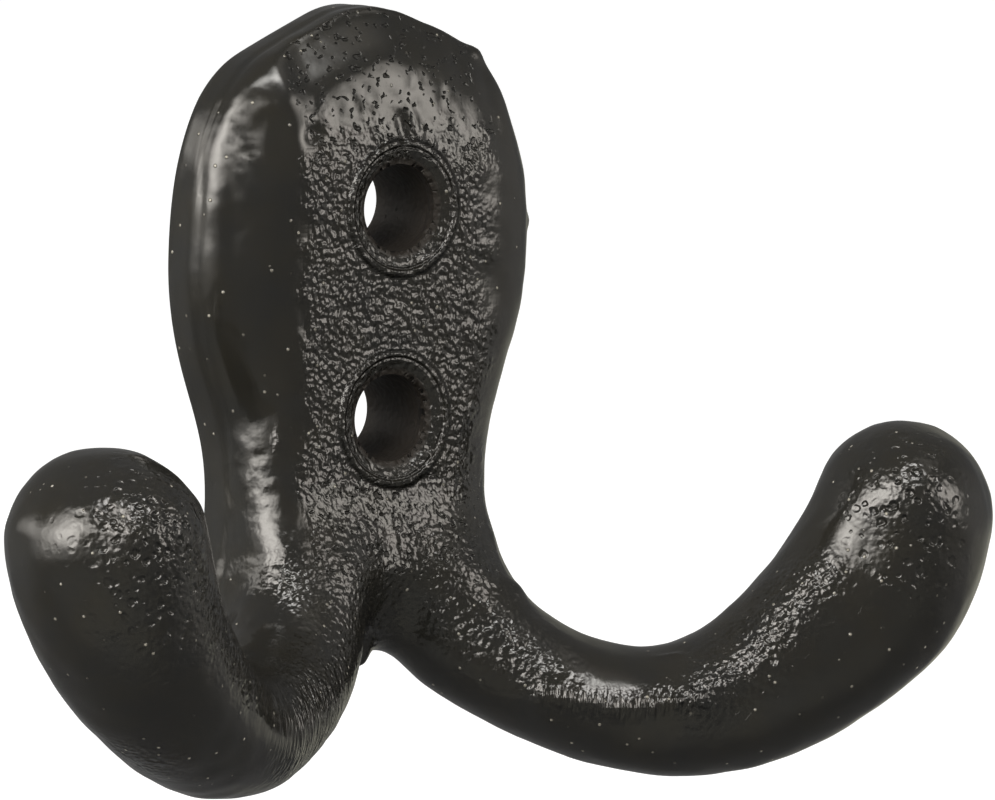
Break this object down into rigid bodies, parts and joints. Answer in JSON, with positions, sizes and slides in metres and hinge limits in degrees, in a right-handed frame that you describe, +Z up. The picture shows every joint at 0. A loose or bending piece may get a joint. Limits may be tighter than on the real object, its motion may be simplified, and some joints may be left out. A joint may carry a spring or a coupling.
{
  "type": "double hook",
  "caption": "Cast iron wall hook in black enamel: a keyhole-shaped plate with countersunk screw holes divides into upturned arms with blunt bulb ends, for coats or towels.",
  "frame": {"origin": "on the wall face of the plate, midway between the two screw holes", "axes": "+Y into the wall, -Y out to the room, +X to the right as seen from the room, +Z up"},
  "size_m": [0.0734, 0.0252, 0.047],
  "materials": {
    "black_enamel": "gloss black enamel over sand-cast iron"
  },
  "bodies": {
    "root": {"double_hook": "black_enamel"}
  },
  "joints": []
}
